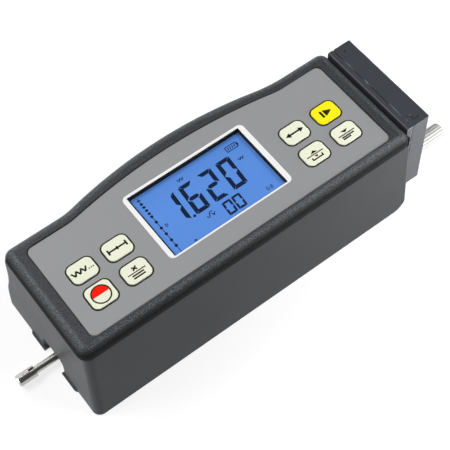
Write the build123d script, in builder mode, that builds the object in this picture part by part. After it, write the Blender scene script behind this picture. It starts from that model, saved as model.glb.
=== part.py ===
from build123d import *
import math
import os

# Hand-held surface roughness meter, real size, in millimetres, +Z up.
# The origin is the middle of the flat sole. +X points to the end with the clamp knob and
# +Y to the side with the bulge for the hand. The pickup comes out at the -X end.

os.makedirs("parts", exist_ok=True)

# Heights of the case
case_top = 48.0
panel_top = 47.7
panel_thickness = 0.6
deck_thickness = 2.2
joint_height = 40.3
housing_bottom = 0.9
sole_rise = 0.75
plate_top = 3.1

# Plan of the rim, the widest line of the top cover
rim_left = -70.4
rim_right = 69.9
rim_near = -27.6
rim_far_end = 22.85
rim_far_mid = 28.35
rim_corner = 4.2
rim_far_corner = 3.5
rim_round = 3.9
rim_under_round = 4.1
rim_wall = 5.0
bulge_left = -44.3
bulge_right = 44.0
bulge_blend_left = 3.2
bulge_blend_right = 7.7

# Plan of the housing at its foot, and how far it stands in under the rim
foot_left = -71.5
foot_right = 71.8
foot_near = -28.2
under_rim_step = 1.4
housing_top_right = 71.0
housing_near_left_corner = 3.2
housing_far_left_corner = 2.5
housing_right_corner = 1.2
foot_round = 6.5
foot_far_reach = 40.0
lip_height = 3.2
wall = 2.2
fit_gap = 0.15
tongue_depth = 2.0
tongue_thickness = 1.2

# Far wall of the housing from the foot up, as place and height of the ends of its arcs: it
# flares at the foot, narrows to a waist, and steps in under the rim. The swell below the
# bulge of the rim stands on it.
far_wall = [
    (31.5, 6.5),
    (30.0, 15.5),
    (27.6, 29.9),
    (27.65, 33.0),
    (26.4, 37.0),
    (rim_far_end - under_rim_step, joint_height),
]
swell_bottom = 30.0
swell_left = -52.0
swell_right = 54.0

# Panel
panel_half_length = 63.35
panel_near = -23.4
panel_far_end = 17.55
panel_far_mid = 22.1
panel_corner = 2.3
panel_bulge_half = 44.85
panel_gap = 0.12
recess_chamfer = 0.3

# Keys: centre of each cap and its size
key_size = (9.7, 7.8)
power_key_size = (9.6, 8.8)
key_corner = 2.2
key_gap = 0.45
key_proud = 0.4
key_flange = 0.9
left_outer_column = -52.3
left_inner_column = -38.25
right_inner_column = 37.9
right_outer_column = 52.15
upper_row = -0.72
lower_row = -11.95
keys = {
    "power_key": (left_outer_column, lower_row, power_key_size),
    "menu_key": (left_inner_column, lower_row, key_size),
    "parameter_key": (left_outer_column, upper_row, key_size),
    "cutoff_key": (left_inner_column, upper_row, key_size),
    "range_key": (right_inner_column, upper_row, key_size),
    "start_key": (right_outer_column, upper_row, key_size),
    "up_key": (right_inner_column, lower_row, key_size),
    "down_key": (right_outer_column, lower_row, key_size),
}

# Display
view_centre = (-0.67, -0.82)
view_size = (48.15, 28.7)
frame_centre = (-0.5, -0.6)
frame_size = (52.0, 30.4)
frame_corner = 2.0
frame_proud = 0.05
window_margin = 1.0
window_thickness = 0.8
glass_top = 45.3
module_size = (51.5, 33.0)
backlight_thickness = 1.0
holder_wall = 1.4

# Main board, its domes and its screws
board_top = 41.8
board_thickness = 1.6
board_half_length = 56.8
board_near = -20.0
board_far = 17.3
board_screw_places = [(-30.5, -17.2), (-30.5, 15.0), (29.2, -17.2), (29.2, 15.0)]
board_boss_radius = 1.6
dome_radius = 3.0
dome_height = 0.7
battery_size = (56.0, 26.0, 9.0)
battery_centre = (-0.5, -1.0)
battery_pad_thickness = 1.2

# Posts that hold the case together
post_places = [(-60.6, -20.5), (60.6, -20.5), (-60.6, 15.0), (60.6, 15.0)]
post_radius = 3.1
post_rib_length = 17.0
post_rib_thickness = 2.0
pilot_radius = 1.1
screw_radius = 1.1
screw_head_radius = 2.0
screw_head_height = 1.4
cover_screw_length = 14.0
base_screw_length = 9.0

# Data and charging socket in the far wall, under the main board
socket_place = (52.0, 24.2)
data_socket_size = (8.4, 10.0, 3.2)
data_socket_drop = 0.8
socket_foot = 4.2

# Pickup and the channel that it lies in
pickup_height = 2.9
channel_half_width = 5.75
channel_top = 8.4
channel_wall = 1.5
channel_corner = 2.0
channel_roof_end = -40.0
channel_end = -4.0
sole_half_width = 15.7
sole_left = -72.2
sole_right = 64.0
nose_front = -86.7
nose_length = 7.2
nose_radius = 2.25
tube_radius = 1.5
tube_bore = 1.1
tube_insert = 2.0
pickup_body_radius = 2.1
pickup_body_bore = 1.5
pickup_body_front = -58.0
pickup_body_rear = -32.0
stylus_x = -84.3
stylus_pivot_x = -54.0
stylus_arm_radius = 0.35
stylus_tip_height = 0.5

# Drive: lead screw and guide rods, carriage and motor
drive_height = 17.0
rod_offset = 9.0
rod_radius = 1.5
running = 0.05
frame_half_width = 16.5
frame_floor = 10.0
frame_front = -38.0
frame_rear_wall = 10.0
frame_motor_wall = 21.5
frame_wall = 3.0
bush_radius = 2.6
carriage_front = -32.0
carriage_length = 12.0
carriage_half_width = 12.5
carriage_bottom = 11.0
carriage_top = 23.0
hinge_x = -26.0
hinge_height = 4.0
hinge_pin_radius = 0.8
socket_front = -46.0
socket_radius = 2.6
gearbox_length = 10.0
motor_length = 14.5
motor_radius = 6.0

# Foot block, the plate that it slides on, and its clamp knob
end_plate_near = -24.5
end_plate_far = 19.8
end_plate_x = 70.1
end_plate_thickness = 2.4
block_x = 72.6
block_end = 80.3
block_bottom = 8.9
block_top = 47.7
foot_travel = 20.0
knob_y = -20.0
knob_z = 22.4
knob_end = 93.5
knob_radius = 3.3
knob_ribs = 18
knob_shank_radius = 1.45
seam_y = -19.9
seam_jog_x = 75.3
seam_end_x = 77.9
seam_step = 2.0
seam_width = 0.5
dimple_place = (75.6, 16.6)
rib_places = (-8.0, 10.0)
rib_width = 3.0
rib_height = 1.5
guide_screw_places = (-12.0, 12.0)
guide_screw_height = 33.0


# Plan outlines
def case_outline(left, right, near, far_end, far_mid, corners, bulge):
    """Three straight sides, and a bulge between two x places on the far side."""
    near_left, far_left, right_corner = corners
    bulge_start, bulge_stop, blend_start, blend_stop = bulge
    kink = 2 * math.atan(2 * (far_mid - far_end) / (bulge_stop - bulge_start))
    with BuildSketch() as outline:
        with BuildLine():
            Polyline(
                (bulge_start, far_end),
                (left, far_end),
                (left, near),
                (right, near),
                (right, far_end),
                (bulge_stop, far_end),
            )
            ThreePointArc(
                (bulge_stop, far_end),
                ((bulge_start + bulge_stop) / 2, far_mid),
                (bulge_start, far_end),
            )
        make_face()
        fillet(outline.vertices().sort_by_distance((left, near))[0], near_left)
        fillet(outline.vertices().sort_by_distance((left, far_end))[0], far_left)
        fillet(outline.vertices().sort_by(Axis.X)[-2:], right_corner)
        start_kink = outline.vertices().sort_by_distance((bulge_start, far_end))[0]
        fillet(start_kink, blend_start / math.tan(kink / 2))
        stop_kink = outline.vertices().sort_by_distance((bulge_stop, far_end))[0]
        fillet(stop_kink, blend_stop / math.tan(kink / 2))
    return outline.sketch


def rim_outline(inset):
    """Plan of the rim, moved in by a distance."""
    near_corner = max(rim_corner - inset, 1.0)
    far_corner = max(rim_far_corner - inset, 1.0)
    return case_outline(
        rim_left + inset,
        rim_right - inset,
        rim_near + inset,
        rim_far_end - inset,
        rim_far_mid - inset,
        (near_corner, far_corner, far_corner),
        (bulge_left, bulge_right, bulge_blend_left, bulge_blend_right),
    )


def drafted(height, top_value, foot_value):
    """A wall's place at a height, on the straight draft from the joint down to the foot."""
    down = (joint_height - height) / (joint_height - housing_bottom)
    return top_value + (foot_value - top_value) * down


def housing_outline(height, inset):
    """Plan of the housing at a height, moved in by a distance, and long on the far side."""
    left = drafted(height, rim_left + under_rim_step, foot_left) + inset
    right = drafted(height, housing_top_right, foot_right) - inset
    near = drafted(height, rim_near + under_rim_step, foot_near) + inset
    with BuildSketch() as outline:
        with Locations((left, near)):
            Rectangle(right - left, foot_far_reach - near, align=(Align.MIN, Align.MIN))
        left_vertex = outline.vertices().sort_by_distance((left, near))[0]
        fillet(left_vertex, max(housing_near_left_corner - inset, 0.5))
        right_vertex = outline.vertices().sort_by_distance((right, near))[0]
        fillet(right_vertex, max(housing_right_corner - inset, 0.5))
    return outline.sketch


def swell_outline(inset):
    """Plan of the swell that follows the bulge of the rim, moved in by a distance."""
    return case_outline(
        swell_left + inset,
        swell_right - inset,
        0,
        rim_far_end - under_rim_step - inset,
        rim_far_mid - under_rim_step - inset,
        (0.5, 0.5, 0.5),
        (bulge_left, bulge_right, bulge_blend_left, bulge_blend_right),
    )


def panel_outline(gap):
    """Plan of the control panel, or of its recess when a gap is given."""
    return case_outline(
        -panel_half_length - gap,
        panel_half_length + gap,
        panel_near - gap,
        panel_far_end + gap,
        panel_far_mid + gap,
        (panel_corner + gap,) * 3,
        (-panel_bulge_half, panel_bulge_half, 2.5, 2.5),
    )


# Common shapes
def housing_body(high, inset):
    """The housing's form moved in by a distance, from its foot up to a height.

    A drafted block is trimmed to the far wall, gets the swell under the bulge, and is rolled
    in at its right foot.
    """
    far_points = [(place - inset, height - inset / 2) for place, height in far_wall]
    far_foot = far_points[0][0]
    far_joint = far_points[-1][0]
    roll_z = housing_bottom + foot_round - 0.1
    roll_x = drafted(roll_z, housing_top_right, foot_right) - foot_round + 0.06
    roll_reach = foot_round + 2
    with BuildPart() as body:
        for height in (joint_height, housing_bottom):
            with BuildSketch(Plane.XY.offset(height)):
                add(housing_outline(height, inset))
        loft(ruled=True)
        with BuildSketch(Plane.YZ):
            with BuildLine():
                tangent = (0, 1)
                for arc_start, arc_end in zip(far_points, far_points[1:]):
                    arc = TangentArc(arc_start, arc_end, tangent=tangent)
                    tangent = arc % 1
                Polyline(
                    far_points[-1],
                    (far_joint, case_top),
                    (-foot_far_reach, case_top),
                    (-foot_far_reach, 0),
                    (far_foot, 0),
                    far_points[0],
                )
            make_face()
        extrude(amount=2 * foot_right, both=True, mode=Mode.INTERSECT)
        split(bisect_by=Plane.XY.offset(high), keep=Keep.BOTTOM)
        if inset == 0:
            edge_place, edge_height = far_wall[1]
            left_edge = body.edges().sort_by_distance((foot_left, edge_place, edge_height))[0]
            fillet(left_edge, housing_far_left_corner)
            right_edge = body.edges().sort_by_distance((foot_right, edge_place, edge_height))[0]
            fillet(right_edge, housing_right_corner)
        if high > swell_bottom:
            with BuildSketch(Plane.XY.offset(swell_bottom)):
                add(swell_outline(inset))
            extrude(amount=high - swell_bottom)
        with BuildSketch(Plane.XZ):
            with Locations((roll_x - max(inset - wall, 0), roll_z)):
                Rectangle(roll_reach, roll_reach, align=(Align.MIN, Align.MAX))
            with Locations((roll_x, roll_z)):
                Circle(foot_round - inset, mode=Mode.SUBTRACT)
        extrude(amount=foot_far_reach, both=True, mode=Mode.SUBTRACT)
    return body.part


def screw_from_above(places, head_top, length):
    """A screw with a cylinder head and a cross recess at each place."""
    with BuildPart() as screws:
        with Locations([(x, y, head_top - screw_head_height) for x, y in places]):
            Cylinder(screw_head_radius, screw_head_height, align=(Align.CENTER, Align.CENTER, Align.MIN))
            Cylinder(screw_radius, length, align=(Align.CENTER, Align.CENTER, Align.MAX))
        with Locations([(x, y, head_top) for x, y in places]):
            Box(2.4, 0.6, 1.4, mode=Mode.SUBTRACT)
            Box(0.6, 2.4, 1.4, mode=Mode.SUBTRACT)
    return screws.part


deck_top = panel_top - panel_thickness
deck_bottom = deck_top - deck_thickness
board_bottom = board_top - board_thickness
post_joint = joint_height - tongue_depth
socket_top = board_bottom - data_socket_drop
tongue_far = rim_far_end - under_rim_step - wall - fit_gap
rim_slab_bottom = case_top - rim_round - rim_under_round - 0.4
key_window_centres = [(x, y) for x, y, size in keys.values()]

# Top cover: bullnose rim, deck under the panel, bosses and a tongue into the housing
with BuildPart() as top_cover:
    with BuildSketch(Plane.XY.offset(rim_slab_bottom)):
        add(rim_outline(0))
    extrude(amount=case_top - rim_slab_bottom)
    fillet(top_cover.faces().sort_by(Axis.Z)[-1].edges(), rim_round)
    fillet(top_cover.faces().sort_by(Axis.Z)[0].edges(), rim_under_round)
    split(bisect_by=Plane.XY.offset(joint_height), keep=Keep.TOP)
    with BuildSketch(Plane.XY.offset(joint_height)):
        add(rim_outline(rim_wall))
    extrude(amount=deck_bottom - joint_height, mode=Mode.SUBTRACT)
    with BuildSketch(Plane.XY.offset(joint_height)):
        add(rim_outline(under_rim_step + wall + fit_gap))
        add(rim_outline(under_rim_step + wall + fit_gap + tongue_thickness), mode=Mode.SUBTRACT)
    extrude(amount=-tongue_depth)
    with BuildSketch(Plane.XY.offset(post_joint)):
        with Locations((socket_place[0], tongue_far)):
            Rectangle(data_socket_size[0] + 1, 4 * tongue_thickness)
    extrude(amount=tongue_depth, mode=Mode.SUBTRACT)
    with BuildSketch(Plane.XY.offset(post_joint)):
        with Locations(post_places):
            Circle(post_radius)
    extrude(amount=deck_bottom - post_joint)
    with BuildSketch(Plane.XY.offset(board_top)):
        with Locations(board_screw_places):
            Circle(board_boss_radius)
    extrude(amount=deck_bottom - board_top)
    with BuildSketch(Plane.XY.offset(deck_top)):
        add(panel_outline(panel_gap))
    extrude(amount=case_top - deck_top, mode=Mode.SUBTRACT)
    chamfer(top_cover.faces().sort_by(Axis.Z)[-1].inner_wires()[0].edges(), recess_chamfer)
    with BuildSketch(Plane.XY.offset(deck_bottom)):
        with Locations(view_centre):
            Rectangle(*view_size)
        for x, y, size in keys.values():
            with Locations((x, y)):
                RectangleRounded(size[0] + 2 * key_gap, size[1] + 2 * key_gap, key_corner + key_gap)
    extrude(amount=deck_thickness, mode=Mode.SUBTRACT)
    with BuildSketch(Plane.XY.offset(deck_top)):
        with Locations(view_centre):
            Rectangle(view_size[0] + 2 * window_margin, view_size[1] + 2 * window_margin)
    extrude(amount=-window_thickness, mode=Mode.SUBTRACT)
    with Locations([(x, y, deck_top) for x, y in post_places]):
        CounterBoreHole(
            screw_radius + 0.2,
            screw_head_radius + 0.2,
            screw_head_height + 0.1,
            depth=deck_top - post_joint + 1,
        )
    with Locations([(x, y, board_top) for x, y in board_screw_places]):
        Cylinder(0.8, 5.0, mode=Mode.SUBTRACT)
top_cover.part.label = "top_cover"
export_step(top_cover.part, "parts/top_cover.step")

# Posts and the ribs that tie them to the housing wall, trimmed to the housing's outside
housing_top = joint_height - 0.1
post_top = post_joint - 0.1
with BuildPart() as housing_posts:
    with BuildSketch(Plane.XY.offset(plate_top + 0.1)):
        for x, y in post_places:
            side = 1 if y > 0 else -1
            with Locations((x, y)):
                Circle(post_radius)
            with Locations((x, y + side * post_rib_length / 2)):
                Rectangle(post_rib_thickness, post_rib_length)
    extrude(amount=post_top - plate_top - 0.1)
    with Locations([(x, y, post_top) for x, y in post_places]):
        Cylinder(pilot_radius, 20.0, mode=Mode.SUBTRACT)
    with Locations([(x, y, plate_top) for x, y in post_places]):
        Cylinder(pilot_radius, 20.0, mode=Mode.SUBTRACT)
    add(housing_body(housing_top, wall / 2), mode=Mode.INTERSECT)

# Housing: drafted side shell, open above and below, with the pickup notch and the end seat
with BuildPart() as housing:
    add(housing_body(housing_top, 0))
    add(housing_body(housing_top, wall), mode=Mode.SUBTRACT)
    add(housing_posts.part)
    with BuildSketch(Plane.YZ.offset(foot_left - 2)):
        with Locations((0, channel_top / 2 - 2)):
            RectangleRounded(2 * channel_half_width, channel_top + 4, channel_corner)
    extrude(amount=8, mode=Mode.SUBTRACT)
    with BuildSketch(Plane.YZ.offset(foot_left + 1.6)):
        with Locations((0, channel_top / 2 - 2)):
            RectangleRounded(2 * channel_half_width, channel_top + 4, channel_corner)
    extrude(amount=-4, taper=-40, mode=Mode.SUBTRACT)
    with BuildSketch(Plane.YZ.offset(end_plate_x)):
        with Locations(((end_plate_near + end_plate_far) / 2, (block_bottom + case_top) / 2)):
            Rectangle(end_plate_far - end_plate_near + 0.4, case_top - block_bottom + 0.2)
    extrude(amount=5, mode=Mode.SUBTRACT)
    with BuildSketch(Plane.XY.offset(housing_top)):
        add(housing_outline(joint_height, 0))
        with Locations((rim_right + fit_gap, end_plate_near - 0.2)):
            Rectangle(5, 5, align=(Align.MIN, Align.MAX), mode=Mode.INTERSECT)
    extrude(amount=lip_height)
    with BuildSketch(Plane.YZ.offset(foot_right - 6)):
        with Locations((knob_y, knob_z)):
            Circle(2.8)
    extrude(amount=8, mode=Mode.SUBTRACT)
    with BuildSketch(Plane.YZ.offset(foot_right - 6)):
        with Locations([(y, guide_screw_height) for y in guide_screw_places]):
            Circle(0.9)
    extrude(amount=8, mode=Mode.SUBTRACT)
    with BuildSketch(Plane.XZ.offset(-socket_place[1] - 5)):
        with Locations((socket_place[0], socket_top - data_socket_size[2] / 2)):
            RectangleRounded(data_socket_size[0] + 0.3, data_socket_size[2] + 0.3, 0.5)
    extrude(amount=10, mode=Mode.SUBTRACT)
housing.part.label = "housing"
export_step(housing.part, "parts/housing.step")

# Bottom cover: plate inside the housing, sole below it, and the trough of the pickup
trough_start = foot_left + wall + 1.0
drive_boss_places = [(-36.5, -15.0), (-36.5, 15.0), (22.5, -15.0), (22.5, 15.0)]
with BuildPart() as bottom_cover:
    add(housing_body(plate_top, wall + fit_gap))
    with BuildSketch(Plane.XY):
        with Locations(((sole_left + sole_right) / 2, 0)):
            RectangleRounded(sole_right - sole_left, 2 * sole_half_width, 2.0)
    extrude(amount=sole_rise)
    with BuildSketch(Plane.XY.offset(sole_rise)):
        with Locations(((foot_left + sole_right) / 2 + 2, 0)):
            Rectangle(sole_right - foot_left - 4, 2 * sole_half_width - 2)
    extrude(amount=plate_top - sole_rise)
    with BuildSketch(Plane.XY.offset(plate_top)):
        with Locations(((trough_start + channel_roof_end) / 2, 0)):
            Rectangle(channel_roof_end - trough_start, 2 * (channel_half_width + channel_wall))
    extrude(amount=channel_top + channel_wall - plate_top)
    with BuildSketch(Plane.XY.offset(plate_top)):
        with Locations(drive_boss_places):
            Circle(2.4)
    extrude(amount=frame_floor - plate_top)
    with BuildSketch(Plane.YZ.offset(sole_left - 1)):
        with Locations((0, channel_top / 2 - 2)):
            RectangleRounded(2 * channel_half_width, channel_top + 4, channel_corner)
    extrude(amount=channel_roof_end - sole_left + 2, mode=Mode.SUBTRACT)
    with BuildSketch(Plane.XY.offset(-1)):
        with Locations(((channel_roof_end + channel_end) / 2 - 1, 0)):
            RectangleRounded(channel_end - channel_roof_end + 2, 2 * channel_half_width, channel_corner)
    extrude(amount=channel_top + channel_wall + 3, mode=Mode.SUBTRACT)
    with Locations([Location((x, y, housing_bottom), (180, 0, 0)) for x, y in post_places]):
        CounterBoreHole(screw_radius + 0.2, screw_head_radius + 0.2, screw_head_height, depth=4)
    with Locations([(x, y, frame_floor) for x, y in drive_boss_places]):
        Cylinder(0.8, 8.0, mode=Mode.SUBTRACT)
bottom_cover.part.label = "bottom_cover"
export_step(bottom_cover.part, "parts/bottom_cover.step")

# Control panel: thin plate that fills the recess round the keys and the display frame
with BuildPart() as control_panel:
    with BuildSketch(Plane.XY.offset(deck_top)):
        add(panel_outline(0))
        with Locations(frame_centre):
            RectangleRounded(*frame_size, frame_corner, mode=Mode.SUBTRACT)
        for x, y, size in keys.values():
            with Locations((x, y)):
                RectangleRounded(
                    size[0] + 2 * key_gap,
                    size[1] + 2 * key_gap,
                    key_corner + key_gap,
                    mode=Mode.SUBTRACT,
                )
    extrude(amount=panel_thickness)
    chamfer(control_panel.faces().sort_by(Axis.Z)[-1].outer_wire().edges(), 0.15)
control_panel.part.label = "control_panel"
export_step(control_panel.part, "parts/control_panel.step")

# Display frame: flat white ring round the view
with BuildPart() as display_frame:
    with BuildSketch(Plane.XY.offset(deck_top)):
        with Locations(frame_centre):
            RectangleRounded(*frame_size, frame_corner)
        with Locations(view_centre):
            Rectangle(*view_size, mode=Mode.SUBTRACT)
    extrude(amount=panel_thickness + frame_proud)
display_frame.part.label = "display_frame"
export_step(display_frame.part, "parts/display_frame.step")

# Display window: clear plate on the ledge under the frame
with BuildPart() as display_window:
    with BuildSketch(Plane.XY.offset(deck_top - window_thickness)):
        with Locations(view_centre):
            Rectangle(view_size[0] + 2 * window_margin - 0.2, view_size[1] + 2 * window_margin - 0.2)
    extrude(amount=window_thickness)
display_window.part.label = "display_window"
export_step(display_window.part, "parts/display_window.step")

# Display module: glass that stands up into the view, on a wider carrier
backlight_top = board_top + backlight_thickness
with BuildPart() as display_module:
    with BuildSketch(Plane.XY.offset(backlight_top)):
        with Locations(view_centre):
            Rectangle(*module_size)
    extrude(amount=deck_bottom - backlight_top - 0.05)
    with BuildSketch(Plane.XY.offset(deck_bottom - 0.05)):
        with Locations(view_centre):
            Rectangle(view_size[0] - 0.3, view_size[1] - 0.3)
    extrude(amount=glass_top - deck_bottom + 0.05)
display_module.part.label = "display_module"
export_step(display_module.part, "parts/display_module.step")

with BuildPart() as backlight:
    with BuildSketch(Plane.XY.offset(board_top)):
        with Locations(view_centre):
            Rectangle(*module_size)
    extrude(amount=backlight_thickness)
backlight.part.label = "backlight"
export_step(backlight.part, "parts/backlight.step")

# Display holder: frame with four snap legs that stands on the board
with BuildPart() as display_holder:
    with BuildSketch(Plane.XY.offset(board_top)):
        with Locations(view_centre):
            Rectangle(module_size[0] + 2 * holder_wall, module_size[1] + 2 * holder_wall)
            Rectangle(module_size[0] + 0.2, module_size[1] + 0.2, mode=Mode.SUBTRACT)
    extrude(amount=deck_bottom - board_top - 0.1)
display_holder.part.label = "display_holder"
export_step(display_holder.part, "parts/display_holder.step")

# Main board
with BuildPart() as main_board:
    with BuildSketch(Plane.XY.offset(board_top)):
        with Locations((0, (board_near + board_far) / 2)):
            RectangleRounded(2 * board_half_length, board_far - board_near, 1.0)
        with Locations(board_screw_places):
            Circle(1.0, mode=Mode.SUBTRACT)
    extrude(amount=-board_thickness)
main_board.part.label = "main_board"
export_step(main_board.part, "parts/main_board.step")

# Key domes: shallow snap domes on the board, one under each key
dome_ball = (dome_radius**2 + dome_height**2) / (2 * dome_height)
with BuildPart() as key_domes:
    with Locations([(x, y, board_top + dome_height - dome_ball) for x, y in key_window_centres]):
        Sphere(dome_ball)
    split(bisect_by=Plane.XY.offset(board_top), keep=Keep.TOP)
key_domes.part.label = "key_domes"
export_step(key_domes.part, "parts/key_domes.step")

# Screws that hold the board to the cover
with BuildPart() as board_screws:
    with Locations([(x, y, board_bottom) for x, y in board_screw_places]):
        Cylinder(1.6, 1.0, align=(Align.CENTER, Align.CENTER, Align.MAX))
        Cylinder(0.8, 3.6, align=(Align.CENTER, Align.CENTER, Align.MIN))
board_screws.part.label = "board_screws"
export_step(board_screws.part, "parts/board_screws.step")

# Battery pack under the board
with BuildPart() as battery_pack:
    with BuildSketch(Plane.XY.offset(board_bottom - battery_pad_thickness)):
        with Locations(battery_centre):
            RectangleRounded(battery_size[0], battery_size[1], 3.0)
    extrude(amount=-battery_size[2])
    fillet(battery_pack.edges().filter_by(Axis.Z, reverse=True), 1.5)
battery_pack.part.label = "battery_pack"
export_step(battery_pack.part, "parts/battery_pack.step")

with BuildPart() as battery_pad:
    with BuildSketch(Plane.XY.offset(board_bottom - battery_pad_thickness)):
        with Locations(battery_centre):
            Rectangle(battery_size[0] - 14, battery_size[1] - 8)
    extrude(amount=battery_pad_thickness)
battery_pad.part.label = "battery_pad"
export_step(battery_pad.part, "parts/battery_pad.step")

# Data and charging socket: shell with a tongue in its mouth, on a foot under the board
with BuildPart() as data_socket:
    with BuildSketch(Plane.XZ.offset(-socket_place[1])):
        with Locations((socket_place[0], socket_top - data_socket_size[2] / 2)):
            RectangleRounded(data_socket_size[0], data_socket_size[2], 0.5)
    extrude(amount=data_socket_size[1])
    with BuildSketch(Plane.XZ.offset(-socket_place[1])):
        with Locations((socket_place[0], socket_top - data_socket_size[2] / 2)):
            RectangleRounded(data_socket_size[0] - 0.8, data_socket_size[2] - 0.8, 0.3)
            Rectangle(data_socket_size[0] - 2.4, 0.7, mode=Mode.SUBTRACT)
    extrude(amount=data_socket_size[1] - 4, mode=Mode.SUBTRACT)
    with BuildSketch(Plane.XY.offset(socket_top)):
        with Locations((socket_place[0], socket_place[1] - data_socket_size[1] + socket_foot / 2)):
            Rectangle(data_socket_size[0], socket_foot)
    extrude(amount=data_socket_drop)
data_socket.part.label = "data_socket"
export_step(data_socket.part, "parts/data_socket.step")

# Keys: cap through the deck, flange that holds it in, and a stem over its dome
key_top = panel_top + key_proud
flange_top = deck_bottom - 0.1
flange_thickness = 0.8
stem_bottom = board_top + dome_height + 0.5
for key_name, (key_x, key_y, key_plan) in keys.items():
    with BuildPart() as key:
        with BuildSketch(Plane.XY.offset(flange_top)):
            with Locations((key_x, key_y)):
                RectangleRounded(*key_plan, key_corner)
        extrude(amount=key_top - flange_top)
        fillet(key.faces().sort_by(Axis.Z)[-1].edges(), 0.3)
        with BuildSketch(Plane.XY.offset(flange_top)):
            with Locations((key_x, key_y)):
                RectangleRounded(key_plan[0] + 2 * key_flange, key_plan[1] + 2 * key_flange, key_corner)
        extrude(amount=-flange_thickness)
        with BuildSketch(Plane.XY.offset(flange_top - flange_thickness)):
            with Locations((key_x, key_y)):
                Circle(1.2)
        extrude(amount=stem_bottom - flange_top + flange_thickness)
    key.part.label = key_name
    export_step(key.part, f"parts/{key_name}.step")

# Screws of the case, from above under the panel and from below
cover_screws = screw_from_above(post_places, deck_top, cover_screw_length)
cover_screws.label = "cover_screws"
export_step(cover_screws, "parts/cover_screws.step")

with BuildPart() as base_screws:
    upright = screw_from_above(post_places, 0, base_screw_length)
    add(upright.mirror(Plane.XY).translate((0, 0, housing_bottom)))
base_screws.part.label = "base_screws"
export_step(base_screws.part, "parts/base_screws.step")

# Pickup nose: skid sleeve with a slot at its top rear and a window for the stylus
with BuildPart() as nose_sleeve:
    with BuildSketch(Plane.YZ.offset(nose_front)):
        with Locations((0, pickup_height)):
            Circle(nose_radius)
    extrude(amount=nose_length)
    chamfer(nose_sleeve.faces().sort_by(Axis.X)[0].edges(), 0.35)
    with BuildSketch(Plane.YZ.offset(nose_front + 1.2)):
        with Locations((0, pickup_height)):
            Circle(tube_radius)
    extrude(amount=nose_length, mode=Mode.SUBTRACT)
    with BuildSketch(Plane.XY.offset(pickup_height + nose_radius)):
        with Locations((nose_front + nose_length - 0.6, 0)):
            Rectangle(3.2, 1.7)
    extrude(amount=-1.6, mode=Mode.SUBTRACT)
    with BuildSketch(Plane.XY):
        with Locations((stylus_x, 0)):
            SlotOverall(2.0, 1.2)
    extrude(amount=pickup_height, mode=Mode.SUBTRACT)
nose_sleeve.part.label = "nose_sleeve"
export_step(nose_sleeve.part, "parts/nose_sleeve.step")

# Pickup tube between the nose and the pickup body
tube_front = nose_front + nose_length - tube_insert
tube_rear = pickup_body_front + tube_insert
with BuildPart() as pickup_tube:
    with BuildSketch(Plane.YZ.offset(tube_front)):
        with Locations((0, pickup_height)):
            Circle(tube_radius)
            Circle(tube_bore, mode=Mode.SUBTRACT)
    extrude(amount=tube_rear - tube_front)
pickup_tube.part.label = "pickup_tube"
export_step(pickup_tube.part, "parts/pickup_tube.step")

# Pickup body: holds the pivot of the stylus arm and its sensing coil
pivot_radius = 0.4
with BuildPart() as pickup_body:
    with BuildSketch(Plane.YZ.offset(pickup_body_front)):
        with Locations((0, pickup_height)):
            Circle(pickup_body_radius)
            Circle(pickup_body_bore, mode=Mode.SUBTRACT)
    extrude(amount=pickup_body_rear - pickup_body_front)
    with BuildSketch(Plane.YZ.offset(pickup_body_rear)):
        with Locations((0, pickup_height)):
            Circle(pickup_body_radius)
    extrude(amount=-2.0)
    with BuildSketch(Plane.XZ.offset(-5)):
        with Locations((stylus_pivot_x, pickup_height)):
            Circle(pivot_radius)
    extrude(amount=10, mode=Mode.SUBTRACT)
pickup_body.part.label = "pickup_body"
export_step(pickup_body.part, "parts/pickup_body.step")

with BuildPart() as stylus_pivot:
    with BuildSketch(Plane.XZ.offset(-1.9)):
        with Locations((stylus_pivot_x, pickup_height)):
            Circle(pivot_radius)
    extrude(amount=3.8)
stylus_pivot.part.label = "stylus_pivot"
export_step(stylus_pivot.part, "parts/stylus_pivot.step")

# Sensing coil round the core at the rear of the arm
coil_front = -44.0
with BuildPart() as sensing_coil:
    with BuildSketch(Plane.YZ.offset(coil_front)):
        with Locations((0, pickup_height)):
            Circle(pickup_body_bore)
            Circle(1.15, mode=Mode.SUBTRACT)
    extrude(amount=6.0)
sensing_coil.part.label = "sensing_coil"
export_step(sensing_coil.part, "parts/sensing_coil.step")

# Stylus arm: rod with a hub on the pivot, a core in the coil and a flat for the tip
with BuildPart() as stylus_arm:
    with BuildSketch(Plane.YZ.offset(stylus_x - 0.6)):
        with Locations((0, pickup_height)):
            Circle(stylus_arm_radius)
    extrude(amount=coil_front - stylus_x + 1.6)
    with BuildSketch(Plane.XZ.offset(-0.8)):
        with Locations((stylus_pivot_x, pickup_height)):
            Circle(0.9)
    extrude(amount=1.6)
    with BuildSketch(Plane.YZ.offset(coil_front + 1.0)):
        with Locations((0, pickup_height)):
            Circle(0.8)
    extrude(amount=4.0)
    with BuildSketch(Plane.XZ.offset(-2)):
        with Locations((stylus_pivot_x, pickup_height)):
            Circle(pivot_radius + 0.03)
    extrude(amount=4, mode=Mode.SUBTRACT)
stylus_arm.part.label = "stylus_arm"
export_step(stylus_arm.part, "parts/stylus_arm.step")

with BuildPart() as stylus_tip:
    with BuildSketch(Plane.XZ):
        with BuildLine():
            Polyline(
                (stylus_x, pickup_height - stylus_arm_radius),
                (stylus_x + 0.3, pickup_height - stylus_arm_radius),
                (stylus_x + 0.25, stylus_tip_height + 0.45),
                (stylus_x, stylus_tip_height),
                close=True,
            )
        make_face()
    revolve(axis=Axis((stylus_x, 0, 0), (0, 0, 1)))
stylus_tip.part.label = "stylus_tip"
export_step(stylus_tip.part, "parts/stylus_tip.step")

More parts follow.
